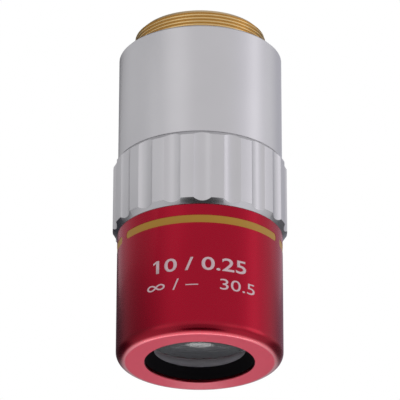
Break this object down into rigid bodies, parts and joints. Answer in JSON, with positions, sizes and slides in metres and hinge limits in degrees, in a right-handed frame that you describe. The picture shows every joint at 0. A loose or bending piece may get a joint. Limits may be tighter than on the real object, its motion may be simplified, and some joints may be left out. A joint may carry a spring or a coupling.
{
  "type": "microscope objective",
  "caption": "Long working distance microscope objective: red nose with a recessed front lens, fluted silver grip ring, silver rear barrel and a fine brass mounting thread.",
  "frame": {"origin": "centre of the nose face, on the optical axis, where the objective stands", "axes": "+Z along the optical axis towards the mounting thread, -Y towards the viewer of the picture, +X to the right"},
  "size_m": [0.034, 0.034, 0.0697],
  "materials": {
    "brass": "turned",
    "satin_chrome": "satin, fine blasted",
    "red_anodised": "satin red anodised",
    "yellow_enamel": "enamel",
    "black_anodised": "matt black anodised",
    "optical_glass": "polished and coated"
  },
  "bodies": {
    "root": {"aperture_stop": "black_anodised", "colour_band": "yellow_enamel", "doublet_a_cell": "black_anodised", "doublet_a_crown": "optical_glass", "doublet_a_flint": "optical_glass", "doublet_b_cell": "black_anodised", "doublet_b_crown": "optical_glass", "doublet_b_flint": "optical_glass", "front_barrel": "red_anodised", "front_cell": "black_anodised", "front_lens": "optical_glass", "grip_ring": "satin_chrome", "inner_cell": "black_anodised", "inner_lens": "optical_glass", "lens_tube": "black_anodised", "lock_ring": "black_anodised", "mount_ring": "brass", "parfocal_shim": "brass", "rear_barrel": "satin_chrome", "rear_cell": "black_anodised", "rear_crown": "optical_glass", "rear_flint": "optical_glass", "spacer_a": "black_anodised", "spacer_b": "black_anodised", "triplet_cell": "black_anodised", "triplet_front": "optical_glass", "triplet_middle": "optical_glass", "triplet_rear": "optical_glass"}
  },
  "joints": []
}
